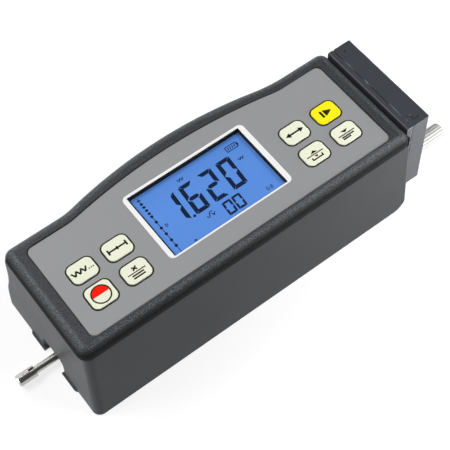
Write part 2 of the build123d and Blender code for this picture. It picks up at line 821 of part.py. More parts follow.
# Pickup socket: sleeve for the pickup body and the lug that it tips on
lug_half_length = 3.5
lug_half_width = 3.3
with BuildPart() as pickup_socket:
    with BuildSketch(Plane.YZ.offset(socket_front)):
        with Locations((0, pickup_height)):
            Circle(socket_radius)
    extrude(amount=hinge_x - socket_front)
    with BuildSketch(Plane.XY.offset(0.5)):
        with Locations((hinge_x, 0)):
            Rectangle(2 * lug_half_length, 2 * lug_half_width)
    extrude(amount=6.1)
    fillet(pickup_socket.edges().filter_by(Axis.Y).group_by(Axis.Z)[-1], 1.5)
    with BuildSketch(Plane.YZ.offset(socket_front)):
        with Locations((0, pickup_height)):
            Circle(pickup_body_radius)
    extrude(amount=pickup_body_rear - socket_front, mode=Mode.SUBTRACT)
    with BuildSketch(Plane.XZ.offset(-8)):
        with Locations((hinge_x, hinge_height)):
            Circle(hinge_pin_radius + running)
    extrude(amount=16, mode=Mode.SUBTRACT)
pickup_socket.part.label = "pickup_socket"
export_step(pickup_socket.part, "parts/pickup_socket.step")

cheek_outer = 5.2
cheek_inner = 3.6
cheek_middle = (cheek_inner + cheek_outer) / 2
with BuildPart() as pivot_pin:
    with BuildSketch(Plane.XZ.offset(-cheek_outer)):
        with Locations((hinge_x, hinge_height)):
            Circle(hinge_pin_radius)
    extrude(amount=2 * cheek_outer)
pivot_pin.part.label = "pivot_pin"
export_step(pivot_pin.part, "parts/pivot_pin.step")

# Carriage: block on the guide rods with a fork that reaches down to the pickup socket
nut_radius = 3.0
with BuildPart() as carriage:
    with BuildSketch(Plane.XY.offset(carriage_bottom)):
        with Locations((carriage_front + carriage_length / 2, 0)):
            RectangleRounded(carriage_length, 2 * carriage_half_width, 1.5)
    extrude(amount=carriage_top - carriage_bottom)
    with BuildSketch(Plane.XY.offset(carriage_bottom)):
        with Locations((hinge_x, 0)):
            Rectangle(8.0, 2 * cheek_outer)
    extrude(amount=-3.4)
    with BuildSketch(Plane.XY.offset(carriage_bottom - 3.4)):
        with Locations((hinge_x, cheek_middle), (hinge_x, -cheek_middle)):
            Rectangle(6.0, cheek_outer - cheek_inner)
    extrude(amount=-6.2)
    with BuildSketch(Plane.YZ.offset(carriage_front - 1)):
        with Locations((rod_offset, drive_height), (-rod_offset, drive_height)):
            Circle(rod_radius + running)
        with Locations((0, drive_height)):
            Circle(nut_radius)
    extrude(amount=carriage_length + 2, mode=Mode.SUBTRACT)
    with BuildSketch(Plane.XZ.offset(-8)):
        with Locations((hinge_x, hinge_height)):
            Circle(hinge_pin_radius)
    extrude(amount=16, mode=Mode.SUBTRACT)
carriage.part.label = "carriage"
export_step(carriage.part, "parts/carriage.step")

with BuildPart() as drive_nut:
    with BuildSketch(Plane.YZ.offset(carriage_front)):
        with Locations((0, drive_height)):
            Circle(nut_radius)
    extrude(amount=carriage_length)
    with BuildSketch(Plane.YZ.offset(carriage_front + carriage_length)):
        with Locations((0, drive_height)):
            Circle(nut_radius + 1.5)
    extrude(amount=1.5)
    with BuildSketch(Plane.YZ.offset(carriage_front - 1)):
        with Locations((0, drive_height)):
            Circle(rod_radius + running)
    extrude(amount=carriage_length + 4, mode=Mode.SUBTRACT)
drive_nut.part.label = "drive_nut"
export_step(drive_nut.part, "parts/drive_nut.step")

# Drive frame: two rails and three cross walls for the rods, the screw and the motor
rear_wall_end = frame_rear_wall + frame_wall
motor_wall_end = frame_motor_wall + 2.0
with BuildPart() as drive_frame:
    with BuildSketch(Plane.XY.offset(frame_floor)):
        with Locations(((frame_front + motor_wall_end) / 2, 0)):
            Rectangle(motor_wall_end - frame_front, 2 * frame_half_width)
            Rectangle(motor_wall_end - frame_front - 2, 2 * frame_half_width - 6, mode=Mode.SUBTRACT)
    extrude(amount=3.5)
    with BuildSketch(Plane.XY.offset(frame_floor)):
        for wall_start, wall_end in (
            (frame_front, frame_front + frame_wall),
            (frame_rear_wall, rear_wall_end),
            (frame_motor_wall, motor_wall_end),
        ):
            with Locations(((wall_start + wall_end) / 2, 0)):
                Rectangle(wall_end - wall_start, 2 * frame_half_width)
    extrude(amount=carriage_top + 1 - frame_floor)
    with BuildSketch(Plane.YZ.offset(frame_front - 1)):
        with Locations((rod_offset, drive_height), (-rod_offset, drive_height)):
            Circle(rod_radius)
        with Locations((0, drive_height)):
            Circle(bush_radius)
    extrude(amount=rear_wall_end - frame_front + 1, mode=Mode.SUBTRACT)
    with BuildSketch(Plane.YZ.offset(frame_motor_wall - 1)):
        with Locations((0, drive_height)):
            Circle(3.0)
    extrude(amount=4, mode=Mode.SUBTRACT)
    with Locations([(x, y, frame_floor) for x, y in drive_boss_places]):
        Cylinder(1.0, 8.0, mode=Mode.SUBTRACT)
drive_frame.part.label = "drive_frame"
export_step(drive_frame.part, "parts/drive_frame.step")

with BuildPart() as guide_rods:
    with BuildSketch(Plane.YZ.offset(frame_front)):
        with Locations((rod_offset, drive_height), (-rod_offset, drive_height)):
            Circle(rod_radius)
    extrude(amount=rear_wall_end - frame_front)
guide_rods.part.label = "guide_rods"
export_step(guide_rods.part, "parts/guide_rods.step")

with BuildPart() as screw_bushes:
    for bush_start in (frame_front, frame_rear_wall):
        with BuildSketch(Plane.YZ.offset(bush_start)):
            with Locations((0, drive_height)):
                Circle(bush_radius)
                Circle(rod_radius + running, mode=Mode.SUBTRACT)
        extrude(amount=frame_wall)
screw_bushes.part.label = "screw_bushes"
export_step(screw_bushes.part, "parts/screw_bushes.step")

coupling_start = 14.0
coupling_end = 20.5
with BuildPart() as lead_screw:
    with BuildSketch(Plane.YZ.offset(frame_front + 0.3)):
        with Locations((0, drive_height)):
            Circle(rod_radius)
    extrude(amount=coupling_start + 3 - frame_front - 0.3)
    chamfer(lead_screw.faces().sort_by(Axis.X)[0].edges(), 0.3)
lead_screw.part.label = "lead_screw"
export_step(lead_screw.part, "parts/lead_screw.step")

with BuildPart() as output_shaft:
    with BuildSketch(Plane.YZ.offset(coupling_start + 3.2)):
        with Locations((0, drive_height)):
            Circle(1.0)
    extrude(amount=12.0)
output_shaft.part.label = "output_shaft"
export_step(output_shaft.part, "parts/output_shaft.step")

with BuildPart() as shaft_coupling:
    with BuildSketch(Plane.YZ.offset(coupling_start)):
        with Locations((0, drive_height)):
            Circle(3.0)
            Circle(1.0, mode=Mode.SUBTRACT)
    extrude(amount=coupling_end - coupling_start)
    with BuildSketch(Plane.YZ.offset(coupling_start)):
        with Locations((0, drive_height)):
            Circle(rod_radius)
    extrude(amount=3.1, mode=Mode.SUBTRACT)
shaft_coupling.part.label = "shaft_coupling"
export_step(shaft_coupling.part, "parts/shaft_coupling.step")

with BuildPart() as motor_gearbox:
    with BuildSketch(Plane.YZ.offset(motor_wall_end)):
        with Locations((0, drive_height)):
            Circle(motor_radius)
    extrude(amount=gearbox_length)
    with BuildSketch(Plane.YZ.offset(motor_wall_end)):
        with Locations((0, drive_height)):
            Circle(2.9)
    extrude(amount=-2.0)
    with BuildSketch(Plane.YZ.offset(frame_motor_wall - 1)):
        with Locations((0, drive_height)):
            Circle(1.0 + running)
    extrude(amount=gearbox_length, mode=Mode.SUBTRACT)
motor_gearbox.part.label = "motor_gearbox"
export_step(motor_gearbox.part, "parts/motor_gearbox.step")

with BuildPart() as drive_motor:
    with BuildSketch(Plane.YZ.offset(motor_wall_end + gearbox_length)):
        with Locations((0, drive_height)):
            Circle(motor_radius)
            Rectangle(2 * motor_radius, 10.0, mode=Mode.INTERSECT)
    extrude(amount=motor_length)
drive_motor.part.label = "drive_motor"
export_step(drive_motor.part, "parts/drive_motor.step")

# End plate that the foot block slides on, with two guide ribs
end_plate_mid = (end_plate_near + end_plate_far) / 2
end_plate_width = end_plate_far - end_plate_near
guide_face = end_plate_x + end_plate_thickness
block_mid_height = (block_bottom + block_top) / 2
with BuildPart() as guide_plate:
    with BuildSketch(Plane.YZ.offset(end_plate_x)):
        with Locations((end_plate_mid, block_mid_height)):
            Rectangle(end_plate_width, block_top - block_bottom)
    extrude(amount=end_plate_thickness)
    top_edges = guide_plate.edges().filter_by(Axis.Y).group_by(Axis.Z)[-1].sort_by(Axis.X)
    fillet(top_edges[0], 0.8)
    chamfer(top_edges[-1], 0.2)
    with BuildSketch(Plane.YZ.offset(guide_face)):
        for rib_y in rib_places:
            with Locations((rib_y, block_bottom + 7.5)):
                Rectangle(rib_width, 12.0)
    extrude(amount=rib_height)
    with BuildSketch(Plane.YZ.offset(end_plate_x - 1)):
        with Locations((knob_y, knob_z)):
            Circle(knob_shank_radius + running)
    extrude(amount=6, mode=Mode.SUBTRACT)
    for screw_y in guide_screw_places:
        with Locations(Location((guide_face, screw_y, guide_screw_height), (0, 90, 0))):
            CounterSinkHole(1.1, 2.2, depth=4)
guide_plate.part.label = "guide_plate"
export_step(guide_plate.part, "parts/guide_plate.step")

with BuildPart() as guide_screws:
    for screw_y in guide_screw_places:
        with BuildSketch(Plane.XY.offset(guide_screw_height)):
            with BuildLine():
                Polyline(
                    (guide_face - 0.05, screw_y),
                    (guide_face - 0.05, screw_y + 2.1),
                    (guide_face - 1.2, screw_y + 0.9),
                    (foot_right - 5.0, screw_y + 0.9),
                    (foot_right - 5.0, screw_y),
                    close=True,
                )
            make_face()
        revolve(axis=Axis((0, screw_y, guide_screw_height), (1, 0, 0)))
guide_screws.part.label = "guide_screws"
export_step(guide_screws.part, "parts/guide_screws.step")

with BuildPart() as clamp_insert:
    with BuildSketch(Plane.YZ.offset(end_plate_x)):
        with Locations((knob_y, knob_z)):
            Circle(2.6)
            Circle(knob_shank_radius + running, mode=Mode.SUBTRACT)
    extrude(amount=-3.6)
clamp_insert.part.label = "clamp_insert"
export_step(clamp_insert.part, "parts/clamp_insert.step")

# Foot block: slides down along the end plate, with a slot for the clamp screw
slot_half = knob_shank_radius + 0.25
groove_depth = rib_height + 0.3
groove_top = block_bottom + 13.5 + foot_travel + 1.0
with BuildPart() as foot_block:
    with BuildSketch(Plane.YZ.offset(block_x)):
        with Locations((end_plate_mid, block_mid_height)):
            Rectangle(end_plate_width, block_top - block_bottom)
    extrude(amount=block_end - block_x)
    fillet(foot_block.edges().filter_by(Axis.X).group_by(Axis.Z)[0], 0.8)
    fillet(foot_block.edges().filter_by(Axis.Z), 0.5)
    with BuildSketch(Plane.YZ.offset(block_x)):
        for rib_y in rib_places:
            with Locations((rib_y, (block_bottom - 1 + groove_top) / 2)):
                Rectangle(rib_width + 0.3, groove_top - block_bottom + 1)
    extrude(amount=groove_depth, mode=Mode.SUBTRACT)
    with BuildSketch(Plane.YZ.offset(block_x - 1)):
        with Locations((knob_y, knob_z + foot_travel / 2)):
            SlotCenterToCenter(foot_travel, 2 * slot_half, rotation=90)
    extrude(amount=block_end - block_x + 2, mode=Mode.SUBTRACT)
    with BuildSketch(Plane.XY.offset(block_top)):
        with BuildLine():
            Polyline(
                (block_x, seam_y),
                (seam_jog_x, seam_y),
                (seam_jog_x, seam_y - seam_step),
                (seam_end_x, seam_y - seam_step),
                (seam_end_x, seam_y - seam_step - seam_width),
                (seam_jog_x - seam_width, seam_y - seam_step - seam_width),
                (seam_jog_x - seam_width, seam_y - seam_width),
                (block_x, seam_y - seam_width),
                close=True,
            )
        make_face()
        with Locations(dimple_place):
            Circle(0.4)
    extrude(amount=-0.5, mode=Mode.SUBTRACT)
foot_block.part.label = "foot_block"
export_step(foot_block.part, "parts/foot_block.step")

# Clamp knob: straight-ribbed head on a threaded shank
knob_head = block_end + 0.6
with BuildPart() as clamp_knob:
    with BuildSketch(Plane.YZ.offset(knob_head)):
        with Locations((knob_y, knob_z)):
            Circle(knob_radius)
    extrude(amount=knob_end - knob_head)
    chamfer(clamp_knob.faces().sort_by(Axis.X)[-1].edges(), 0.5)
    with BuildSketch(Plane.YZ.offset(knob_head + 1.0)):
        with Locations((knob_y, knob_z)):
            with PolarLocations(knob_radius + 0.1, knob_ribs):
                Circle(0.32)
    extrude(amount=knob_end - knob_head, mode=Mode.SUBTRACT)
    with BuildSketch(Plane.YZ.offset(end_plate_x - 3.4)):
        with Locations((knob_y, knob_z)):
            Circle(knob_shank_radius)
    extrude(amount=knob_head - end_plate_x + 3.4)
clamp_knob.part.label = "clamp_knob"
export_step(clamp_knob.part, "parts/clamp_knob.step")

with BuildPart() as clamp_washer:
    with BuildSketch(Plane.YZ.offset(block_end + 0.05)):
        with Locations((knob_y, knob_z)):
            Circle(2.9)
            Circle(knob_shank_radius, mode=Mode.SUBTRACT)
    extrude(amount=0.5)
clamp_washer.part.label = "clamp_washer"
export_step(clamp_washer.part, "parts/clamp_washer.step")
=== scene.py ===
import itertools
import math

import bmesh
import bpy
from bpy.props import FloatProperty, FloatVectorProperty, PointerProperty
from mathutils import Matrix, Vector


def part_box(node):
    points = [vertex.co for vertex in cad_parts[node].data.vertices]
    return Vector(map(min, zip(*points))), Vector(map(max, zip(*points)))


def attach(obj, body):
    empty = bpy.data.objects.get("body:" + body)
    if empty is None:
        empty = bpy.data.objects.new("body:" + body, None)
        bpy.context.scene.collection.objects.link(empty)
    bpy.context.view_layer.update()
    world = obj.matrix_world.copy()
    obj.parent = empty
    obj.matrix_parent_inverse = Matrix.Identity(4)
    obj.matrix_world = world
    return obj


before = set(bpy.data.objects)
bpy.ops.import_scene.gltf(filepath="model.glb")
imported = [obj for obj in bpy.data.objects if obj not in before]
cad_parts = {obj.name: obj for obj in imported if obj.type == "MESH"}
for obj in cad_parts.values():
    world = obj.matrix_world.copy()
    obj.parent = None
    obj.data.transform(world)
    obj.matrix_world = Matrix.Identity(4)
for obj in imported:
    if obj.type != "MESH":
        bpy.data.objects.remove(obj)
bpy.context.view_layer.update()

bl_info = {
    "name": "Surface roughness meter",
    "version": (1, 0, 0),
    "blender": (4, 5, 0),
    "location": "View3D > Sidebar > Roughness meter",
    "description": "Finishes, printed marks and studio for a hand-held surface roughness meter",
    "category": "Object",
}

MM = 0.001

# Thickness of everything that is printed on a surface. Half of it stands out of the surface
INK = 0.02 * MM

# The display's marks. Pairs are along X and Y, and places are in millimetres of the case's plan.
# The size of the small figures is a height, a width and a stroke
READING = "1620"
READING_PLACES = ((-13.25, 1.0), (-5.15, 1.0), (2.95, 1.0), (11.05, 1.0))
POINT_PLACE = (-9.45, -5.25)
POINT_RADIUS = 0.55 * MM
COUNT = "00"
COUNT_PLACES = ((2.2, -9.85), (6.25, -9.85))
COUNT_SIZE = (5.8 * MM, 3.5 * MM, 0.82 * MM)
NUMBER = "0.8"
NUMBER_PLACE = (16.6, -12.7)
NUMBER_SIZE = 2.2 * MM

# The level scale: its dots, the line from its first Y to its last, the plus and the nought
SCALE_X = -21.3
DOTS_Y = (9.85, 8.29, 6.68, 5.08, 3.56, 0.83, -2.14, -5.05, -8.13, -10.88)
DOT_RADIUS = 0.58 * MM
LINE_Y = (3.56, -13.9)
LINE_WIDTH = 0.26 * MM
PLUS_Y = 11.5
PLUS_BAR = (1.7 * MM, 0.36 * MM)
NOUGHT_PLACE = (-19.2, -2.3)
NOUGHT_SIZE = (0.95 * MM, 1.3 * MM)
NOUGHT_CORNER = 0.25 * MM

# The dark edge of the lit field, and the mark at its near side
EDGE_PLACE = (-23.85, -0.2)
EDGE_SIZE = (0.5 * MM, 26.8 * MM)
MARK_PLACE = (-14.9, -13.1)
MARK_SIZE = (1.5 * MM, 0.8 * MM)

# The battery: its outline, the pole at its end and the slanted bars in it
BATTERY_PLACE = (17.65, 9.75)
BATTERY_SIZE = (4.9 * MM, 2.5 * MM)
BATTERY_CORNER = 0.2 * MM
BATTERY_LINE = 0.33 * MM
POLE_X = 2.6
POLE_SIZE = (0.5 * MM, 1.1 * MM)
BARS_X = (-1.35, -0.45, 0.45, 1.35)
BAR_SIZE = (0.36 * MM, 1.15 * MM)
BAR_SLANT = -14

# Two small waves: centre and spacing of their strokes
SMALL_WAVES = (((-4.75, 9.85), 0.62), ((17.5, 3.95), 0.55))
SMALL_STROKE = (1.3 * MM, 0.32 * MM)

# The surface texture sign: centre, length in millimetres and turn in degrees of each stroke
TEXTURE_STROKES = (
    ((-6.15, -8.55), 1.0, -60),
    ((-5.15, -8.05), 2.1, 60),
    ((-4.1, -7.2), 1.3, 0),
    ((-4.0, -8.5), 1.6, -50),
    ((-3.5, -8.5), 1.6, 50),
)
TEXTURE_WIDTH = 0.34 * MM

# Segments that are lit for each figure, from the top one round clockwise, the middle one last
SEGMENTS = {"0": "abcdef", "1": "bc", "2": "abdeg", "6": "acdefg"}

# Slope of the strokes of every wave, in degrees
WAVE_SLOPE = 62

KEYS = ("power", "menu", "parameter", "cutoff", "range", "start", "up", "down")

# How far a key's hidden flange reaches past its cap, the round of the cap's corners, and the gap
# between the cap and the dark outline round it, which is partly print and partly painted shade of
# the gap round the cap
KEY_FLANGE = 0.9 * MM
KEY_CORNER = 2.2 * MM
KEY_GAP = 0.02 * MM

# Strokes of the key signs, as parts of the width that is set for their lines
THIN = 0.75
BOLD = 1.1
HEAVY = 1.2

# The power key's disc and the ring round it, and how far they lie below the middle of the cap
POWER_DISC = 3.12 * MM
POWER_RING = 3.65 * MM
POWER_DROP = 0.05 * MM

# Distance from the knob's axis below which the grooves between its ribs lie, where shade is painted
RIB_FLOOR = 3.25 * MM

# Size of the faint patches in moulded plastic
PATCH = 18 * MM

# Ramps of the rim's finish and its painted light: by how far the surface faces up for the highlight
# painted along the crest and the shade painted on the steep sides, by how far it faces the far side
# for that side, which is kept out of the painted shade, and by the grain for the painted glints
RIM_CREST_HIGHLIGHT = ((0.7, 0.0), (0.88, 1.0), (0.98, 1.0), (0.998, 0.3))
RIM_STEEP_SHADE = ((0.45, 1.0), (0.88, 0.0))
RIM_FAR = ((0.1, 0.0), (0.4, 1.0))
RIM_PAINTED_GLINTS = ((0.45, 0.0), (0.65, 1.0))

# The floor, and the middle of the object, which the lights face
FLOOR_SIZE = 40.0
FLOOR_LEVEL = -0.2 * MM
MIDDLE = (0, 0, 0.02)

# The camera as fitted to the photo: its place in metres, its turn in degrees, its sensor and lens
# in millimetres, and the nearest distance that it sees in metres
CAMERA_PLACE = (-0.120188, -0.187855, 0.393833)
CAMERA_TURN = (30.8896, 1.813, -36.9893)
CAMERA_SENSOR = 36.0
CAMERA_LENS = 95.314
CAMERA_NEAR = 0.01


# Shader nodes
class Signal:
    """A value that runs between shader nodes and takes part in plain arithmetic."""

    def __init__(self, shading, socket):
        self.shading = shading
        self.socket = socket

    def maths(self, operation, first, second):
        return self.shading.node("Math", {"operation": operation}, {0: first, 1: second})

    def __add__(self, other):
        return self.maths("ADD", self, other)

    __radd__ = __add__

    def __sub__(self, other):
        return self.maths("SUBTRACT", self, other)

    def __rsub__(self, other):
        return self.maths("SUBTRACT", other, self)

    def __mul__(self, other):
        return self.maths("MULTIPLY", self, other)

    __rmul__ = __mul__

    def __gt__(self, other):
        return self.maths("GREATER_THAN", self, other)

    def __lt__(self, other):
        return self.maths("LESS_THAN", self, other)

    def swing(self, amount):
        """A value round one half made one round nought, as wide as the amount."""
        return (self - 0.5) * amount


class Shading:
    """A tree of shader nodes."""

    def __init__(self, tree):
        self.tree = tree

    def feed(self, socket, value):
        if isinstance(value, Signal):
            self.tree.links.new(value.socket, socket)
        elif socket.type == "RGBA" and len(value) == 3:
            socket.default_value = (*value, 1)
        else:
            socket.default_value = value

    def node(self, kind, settings, sockets, output=0):
        """Adds a node: its type, then its settings, then the values or links of its sockets."""
        made = self.tree.nodes.new("ShaderNode" + kind)
        for setting, value in settings.items():
            if setting == "stops":
                stops = made.color_ramp.elements
                while len(stops) < len(value):
                    stops.new(0.5)
                for stop, (position, shade) in zip(stops, value):
                    stop.position = position
                    stop.color = (shade, shade, shade, 1)
            else:
                setattr(made, setting, value)
        for name, value in sockets.items():
            self.feed(made.inputs[name], value)
        return Signal(self, made.outputs[output])


class Finish(Shading):
    """One material: a principled shader and the nodes that feed it."""

    def __init__(self, name, **fixed):
        self.material = bpy.data.materials.new(name)
        self.material.use_nodes = True
        super().__init__(self.material.node_tree)
        self.shader = self.tree.nodes["Principled BSDF"]
        self.use(**fixed)

    def use(self, **inputs):
        """Sets or links the shader's own sockets."""
        for name, value in inputs.items():
            self.feed(self.shader.inputs[name.replace("_", " ")], value)

    def place(self, stretch=(1, 1, 1)):
        """Where a point lies on the object, in metres, stretched along an axis if asked."""
        spot = self.node("TexCoord", {}, {}, "Object")
        if stretch == (1, 1, 1):
            return spot
        return self.node("Mapping", {}, {"Vector": spot, "Scale": stretch})

    def noise(self, size, detail=2.0, stretch=(1, 1, 1)):
        """Uneven values round one half, with features of about a size in metres."""
        sockets = {"Vector": self.place(stretch), "Scale": 1 / size, "Detail": detail}
        return self.node("TexNoise", {}, sockets)

    def part(self, vector, axis):
        """The part of a vector along an axis."""
        return self.node("SeparateXYZ", {}, {0: vector}, axis)

    def facing(self, axis="Z"):
        """How far the surface faces along an axis: one if fully, nought if square to it."""
        return self.part(self.node("TexCoord", {}, {}, "Normal"), axis)

    def steps(self, value, stops):
        """A varying value passed through a ramp."""
        return self.node("ValToRGB", {"stops": stops}, {0: value})

    def tint(self, colour, shade):
        """A colour made lighter or darker by a varying value."""
        return self.node("VectorMath", {"operation": "SCALE"}, {0: colour, "Scale": shade})

    def mix(self, factor, first, second):
        """The first colour where the factor is nought, and the second where it is one."""
        sockets = {0: factor, 6: first, 7: second}
        return self.node("Mix", {"data_type": "RGBA"}, sockets, 2)

    def edges(self, radius):
        """One along the sharp edges, and nought away from them."""
        rounded = self.node("Bevel", {"samples": 8}, {"Radius": radius})
        straight = self.node("NewGeometry", {}, {}, "Normal")
        settings = {"operation": "DOT_PRODUCT"}
        alike = self.node("VectorMath", settings, {0: rounded, 1: straight}, "Value")
        return self.steps(1 - alike, ((0.01, 0.0), (0.2, 1.0)))

    def bump(self, height, depth):
        self.use(Normal=self.node("Bump", {}, {"Height": height, "Distance": depth}))


# Finishes
def grained_plastic(
    name, colour, roughness, grain, depth, fleck=0.25, patch=0.1, edge_wear_and_highlight=0.0, gloss=0.5
):
    """Moulded plastic with an even grain that catches the light in small flecks."""
    finish = Finish(name, IOR=1.47, Specular_IOR_Level=gloss)
    grains = finish.noise(grain, 3.0)
    patches = finish.noise(PATCH, 3.0)
    shade = 1 + grains.swing(fleck) + patches.swing(patch)
    # Lighter in patches along sharp edges: partly rubbed wear, partly a highlight painted along the
    # edges
    if edge_wear_and_highlight:
        rubbed_and_lit = finish.steps(finish.noise(0.005, 4.0), ((0.46, 0.0), (0.62, 1.0)))
        shade = shade + finish.edges(0.5 * MM) * rubbed_and_lit * edge_wear_and_highlight
    finish.use(Base_Color=finish.tint(colour, shade))
    finish.use(Roughness=roughness + patches.swing(0.12) + grains.swing(0.1))
    finish.bump(grains, depth)
    return finish


def rim_plastic(colour, grain):
    """Coarse moulded grain, with glints painted as a highlight along the crest and shade painted on
    the steep sides but for the far one.
    """
    finish = Finish("rim plastic", IOR=1.47, Specular_IOR_Level=0.24)
    grains = finish.noise(grain, 3.0)
    patches = finish.noise(PATCH, 3.0)
    facing = finish.facing()
    crest_highlight = finish.steps(facing, RIM_CREST_HIGHLIGHT)
    far = finish.steps(finish.facing("Y"), RIM_FAR)
    steep_shade = finish.steps(facing, RIM_STEEP_SHADE) * (1 - far)
    painted_glints = finish.steps(grains, RIM_PAINTED_GLINTS)
    # Painted light: a highlight of glints painted along the crest, and shade painted on the steep
    # sides but not on the far one
    shade = 1 + grains.swing(2.0) + patches.swing(0.2) + crest_highlight * painted_glints * 2.2 - steep_shade * 0.88
    finish.use(Base_Color=finish.tint(colour, shade))
    finish.use(Roughness=0.32 + steep_shade * 0.55 + patches.swing(0.1))
    finish.bump(grains, 0.12 * MM)
    return finish


def soft_rubber(name, colour, roughness=0.55):
    """Smooth rubber with faint mottling."""
    finish = Finish(name, IOR=1.42, Specular_IOR_Level=0.25)
    mottle = finish.noise(0.0012, 3.0)
    cloud = finish.noise(0.006)
    finish.use(Base_Color=finish.tint(colour, 1 + mottle.swing(0.04) + cloud.swing(0.03)))
    finish.use(Roughness=roughness + cloud.swing(0.1))
    finish.bump(mottle, 0.02 * MM)
    return finish


def worked_metal(name, colour, roughness, stretch, grain=0.0003, depth=0.000004):
    """Metal with fine tool lines along the axis that is stretched least."""
    finish = Finish(name, Metallic=1.0)
    lines = finish.noise(grain, stretch=stretch)
    patches = finish.noise(0.006)
    finish.use(Base_Color=finish.tint(colour, 1 + lines.swing(0.1) + patches.swing(0.06)))
    finish.use(Roughness=roughness + lines.swing(0.12) + patches.swing(0.06))
    finish.bump(lines, depth)
    return finish


def ink(name, colour, roughness=0.5):
    """Printed ink, a little uneven."""
    finish = Finish(name, IOR=1.45, Specular_IOR_Level=0.06)
    cover = finish.noise(0.0004)
    finish.use(Base_Color=finish.tint(colour, 1 + cover.swing(0.15)))
    finish.use(Roughness=roughness + cover.swing(0.1))
    return finish


def dress(finish, *names):
    """Gives a finish to CAD nodes."""
    for name in names:
        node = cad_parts[name]
        node.data.materials.clear()
        node.data.materials.append(finish.material)


# Modelling
def deselect():
    if bpy.context.mode != "OBJECT":
        bpy.ops.object.mode_set(mode="OBJECT")
    bpy.ops.object.select_all(action="DESELECT")


def pick(kind, test):
    """Selects the vertices or faces that pass a test, in edit mode."""
    bpy.ops.mesh.select_mode(type=kind)
    bpy.ops.mesh.select_all(action="DESELECT")
    mesh = bmesh.from_edit_mesh(bpy.context.object.data)
    for part in {"VERT": mesh.verts, "FACE": mesh.faces}[kind]:
        part.select_set(bool(test(part)))
    mesh.select_flush_mode()
    bmesh.update_edit_mesh(bpy.context.object.data)


def raise_flat():
    """Gives the flat shape in edit mode the print's thickness, and goes back to object mode."""
    bpy.ops.mesh.select_all(action="SELECT")
    bpy.ops.mesh.extrude_region_move(TRANSFORM_OT_translate={"value": (0, 0, INK)})
    bpy.ops.mesh.select_all(action="SELECT")
    bpy.ops.mesh.normals_make_consistent(inside=False)
    bpy.ops.object.mode_set(mode="OBJECT")
    return bpy.context.object


def open_ring(thickness):
    """Insets the flat shape in edit mode, takes out its middle and gives it thickness."""
    pick("FACE", lambda face: True)
    bpy.ops.mesh.inset(thickness=thickness)
    bpy.ops.mesh.delete(type="FACE")
    return raise_flat()


def flat_plate(length, width, corner=0.0, segments=6):
    """A flat plate about the origin, left in edit mode, with corners cut or rounded."""
    deselect()
    bpy.ops.mesh.primitive_plane_add(size=1.0)
    bpy.ops.object.mode_set(mode="EDIT")
    bpy.ops.mesh.select_all(action="SELECT")
    bpy.ops.transform.resize(value=(length, width, 1), center_override=(0, 0, 0))
    if corner:
        bpy.ops.mesh.bevel(offset=corner, segments=segments, affect="VERTICES")


def flat_disc(radius, vertices=64):
    """A flat disc about the origin, left in edit mode."""
    deselect()
    bpy.ops.mesh.primitive_circle_add(vertices=vertices, radius=radius, fill_type="NGON")
    bpy.ops.object.mode_set(mode="EDIT")


def plate(length, width):
    flat_plate(length, width)
    return raise_flat()


def plate_ring(length, width, corner, thickness):
    flat_plate(length, width, corner)
    return open_ring(thickness)


def triangle(width, height):
    """A triangle that points to +Y."""
    flat_plate(width, height)
    pick("VERT", lambda point: point.co.y > 0)
    bpy.ops.mesh.merge(type="CENTER")
    return raise_flat()


def disc(radius, vertices=32):
    flat_disc(radius, vertices)
    return raise_flat()


def disc_ring(radius, thickness):
    flat_disc(radius)
    return open_ring(thickness)


def half_disc(radius):
    """The half of a disc on the +Y side."""
    flat_disc(radius)
    bpy.ops.mesh.select_all(action="SELECT")
    bpy.ops.mesh.bisect(plane_co=(0, 0, 0), plane_no=(0, 1, 0), clear_inner=True)
    return raise_flat()


def set_down(shape, x, y, z, turn=0.0):
    """Moves a shape to its place, turned by degrees about Z. Its object stays at the origin."""
    turned = Matrix.Rotation(math.radians(turn), 4, "Z")
    shape.data.transform(Matrix.Translation((x, y, z)) @ turned)
    return shape


def put(shape, place, z=0.0, turn=0.0):
    """Sets a shape down at a place that is given in millimetres of the plan."""
    x, y = place
    return set_down(shape, x * MM, y * MM, z, turn)


def copy_of(shape):
    twin = shape.copy()
    twin.data = shape.data.copy()
    bpy.context.scene.collection.objects.link(twin)
    return twin


def discard(*shapes):
    for shape in shapes:
        bpy.data.objects.remove(shape)


def copies(shape, places, z=0.0, turns=(0,)):
    """Puts copies of a shape at places, with the turns used in rotation, and removes the shape."""
    turned = zip(places, itertools.cycle(turns))
    made = [put(copy_of(shape), place, z, turn) for place, turn in turned]
    discard(shape)
    return made


def join(shapes, name):
    """Makes one object of several shapes."""
    deselect()
    for shape in shapes:
        shape.select_set(True)
    bpy.context.view_layer.objects.active = shapes[0]
    if len(shapes) > 1:
        bpy.ops.object.join()
    bpy.context.object.name = name
    bpy.context.object.data.name = name
    return bpy.context.object


def settle(shapes, name, body, finish):
    """Joins the shapes into one piece and puts it on a body."""
    piece = join(shapes, name)
    piece.data.materials.clear()
    piece.data.materials.append(finish.material)
    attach(piece, body)


# Printed marks
def outer_segment(length, stroke):
    """A lit segment of a figure's outline: its inner side is shorter than its outer one."""
    flat_plate(length, stroke)
    pick("VERT", lambda point: point.co.y < 0)
    inner = (length - 1.8 * stroke) / length
    bpy.ops.transform.resize(value=(inner, 1, 1), center_override=(0, 0, 0))
    pick("VERT", lambda point: point.co.y > 0)
    bpy.ops.mesh.bevel(offset=stroke * 0.22, segments=2, affect="VERTICES")
    return raise_flat()


def middle_segment(length, stroke):
    """The lit segment across the middle, pointed at both ends."""
    flat_plate(length, stroke, stroke * 0.46, 1)
    return raise_flat()


